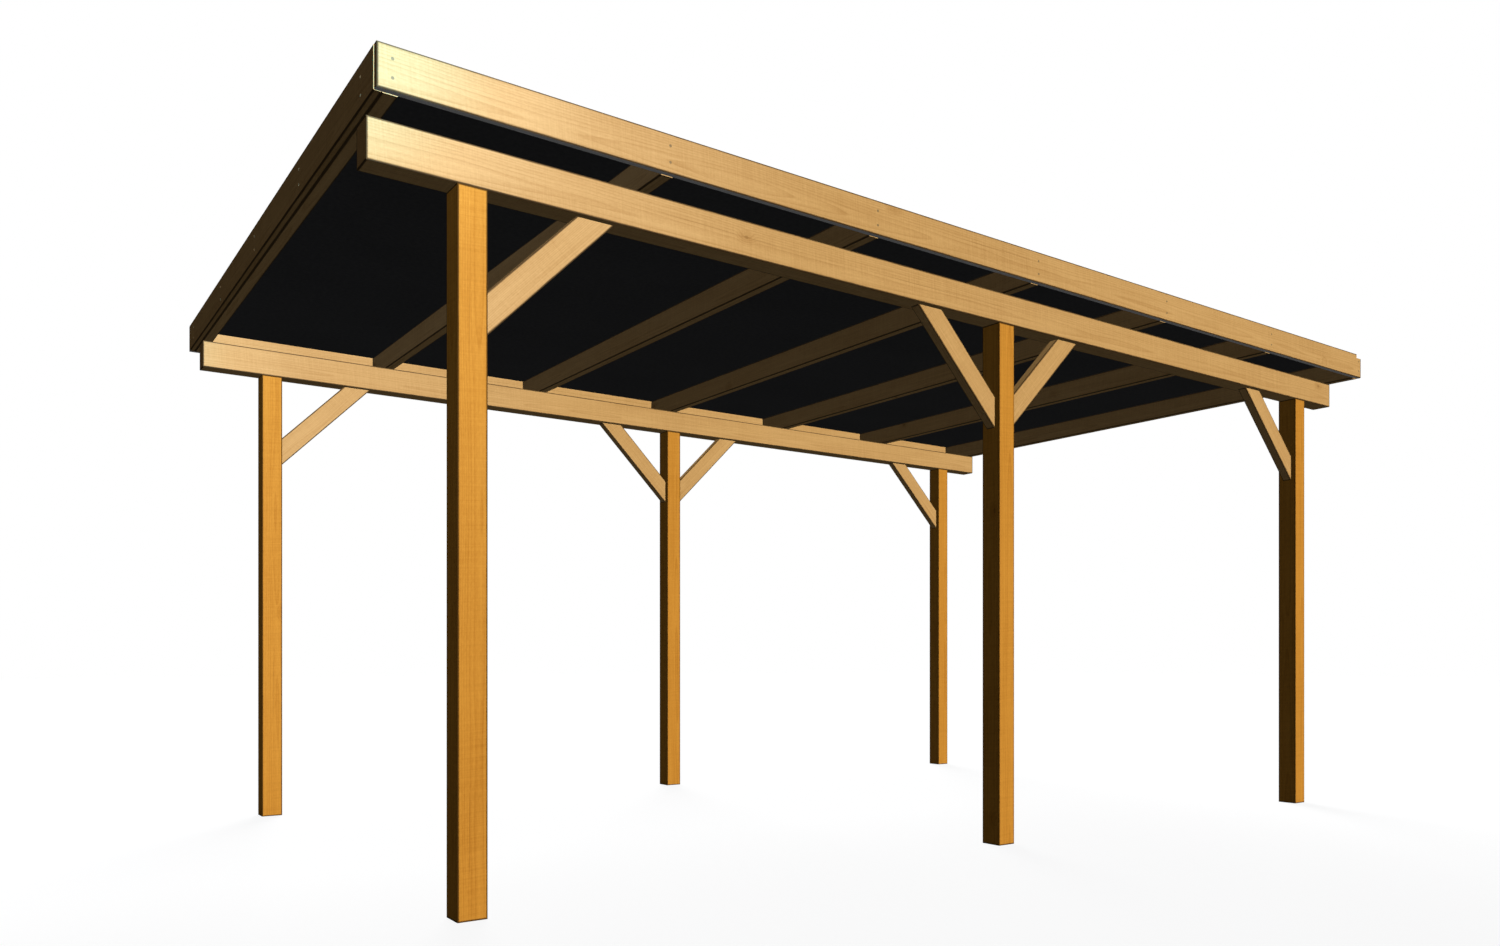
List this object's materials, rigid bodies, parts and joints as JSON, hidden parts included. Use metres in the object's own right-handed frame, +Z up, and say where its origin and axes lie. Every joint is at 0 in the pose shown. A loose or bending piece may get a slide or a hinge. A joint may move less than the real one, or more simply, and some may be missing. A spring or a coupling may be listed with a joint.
{
  "type": "carport",
  "caption": "Free-standing open timber carport: square posts, braced purlins and cross rafters under a flat dark roof edged with fascia boards on its sides.",
  "frame": {"origin": "on the ground, under the middle of the roof's outline", "axes": "+Z up, +X along the post rows towards the eaves end that has no end fascia, +Y from the front row to the rear row"},
  "size_m": [5.088, 3.003, 2.34],
  "materials": {
    "post_timber": "planed, honey-orange stain",
    "frame_timber": "planed, pale sand stain",
    "fascia_timber": "planed, pale sand stain",
    "roof_board": "matt anthracite film face",
    "roof_skin": "matt anthracite felt"
  },
  "bodies": {
    "root": {"front_fascia": "fascia_timber", "front_left_brace": "frame_timber", "front_left_post": "post_timber", "front_middle_left_brace": "frame_timber", "front_middle_post": "post_timber", "front_middle_right_brace": "frame_timber", "front_purlin": "frame_timber", "front_right_brace": "frame_timber", "front_right_post": "post_timber", "left_fascia": "fascia_timber", "rafter_1": "frame_timber", "rafter_2": "frame_timber", "rafter_3": "frame_timber", "rafter_4": "frame_timber", "rafter_5": "frame_timber", "rafter_6": "frame_timber", "rafter_7": "frame_timber", "rear_fascia": "fascia_timber", "rear_left_brace": "frame_timber", "rear_left_post": "post_timber", "rear_middle_left_brace": "frame_timber", "rear_middle_post": "post_timber", "rear_middle_right_brace": "frame_timber", "rear_purlin": "frame_timber", "rear_right_brace": "frame_timber", "rear_right_post": "post_timber", "roof_covering": "roof_skin", "roof_sheet_1": "roof_board", "roof_sheet_2": "roof_board", "roof_sheet_3": "roof_board", "roof_sheet_4": "roof_board", "roof_sheet_5": "roof_board", "roof_sheet_6": "roof_board"}
  },
  "joints": []
}
